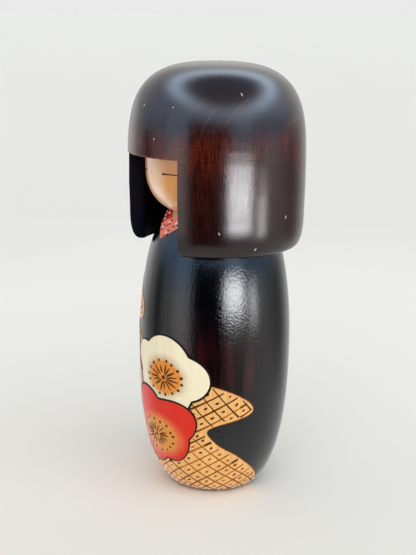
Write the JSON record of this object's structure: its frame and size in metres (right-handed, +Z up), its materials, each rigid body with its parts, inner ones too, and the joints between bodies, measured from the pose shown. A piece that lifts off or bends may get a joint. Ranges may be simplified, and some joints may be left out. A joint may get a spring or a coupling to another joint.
{
  "type": "kokeshi doll",
  "caption": "Turned wooden kokeshi doll with a painted body and a turning head under a hollow bobbed hair cap.",
  "frame": {"origin": "centre of the flat base, on the surface that the doll stands on", "axes": "+Z up along the turning axis, the doll faces -Y, +X is at the doll's left side"},
  "size_m": [0.1108, 0.1107, 0.2705],
  "materials": {
    "black_lacquer": "satin black lacquer over turned wood",
    "stained_wood": "satin dark brown stain with the grain showing",
    "face_wood": "satin clear varnish on pale wood",
    "dowel_wood": "bare hardwood",
    "bare_wood": "bare body wood with a burned lattice, varnished",
    "cream_paint": "satin cream paint on wood",
    "red_paint": "satin red paint on wood",
    "dark_paint": "burned or inked dark line on wood"
  },
  "bodies": {
    "body": {"body": "black_lacquer"},
    "head": {"neck_peg": "dowel_wood", "face_block": "face_wood", "crown_dowel": "dowel_wood", "hair_cap": "stained_wood"}
  },
  "joints": [
    {"name": "head_turn", "type": "hinge", "parent": "body", "child": "head", "pos_m": [0, 0, 0.181], "axis": [0, 0, 1], "continuous": true}
  ]
}
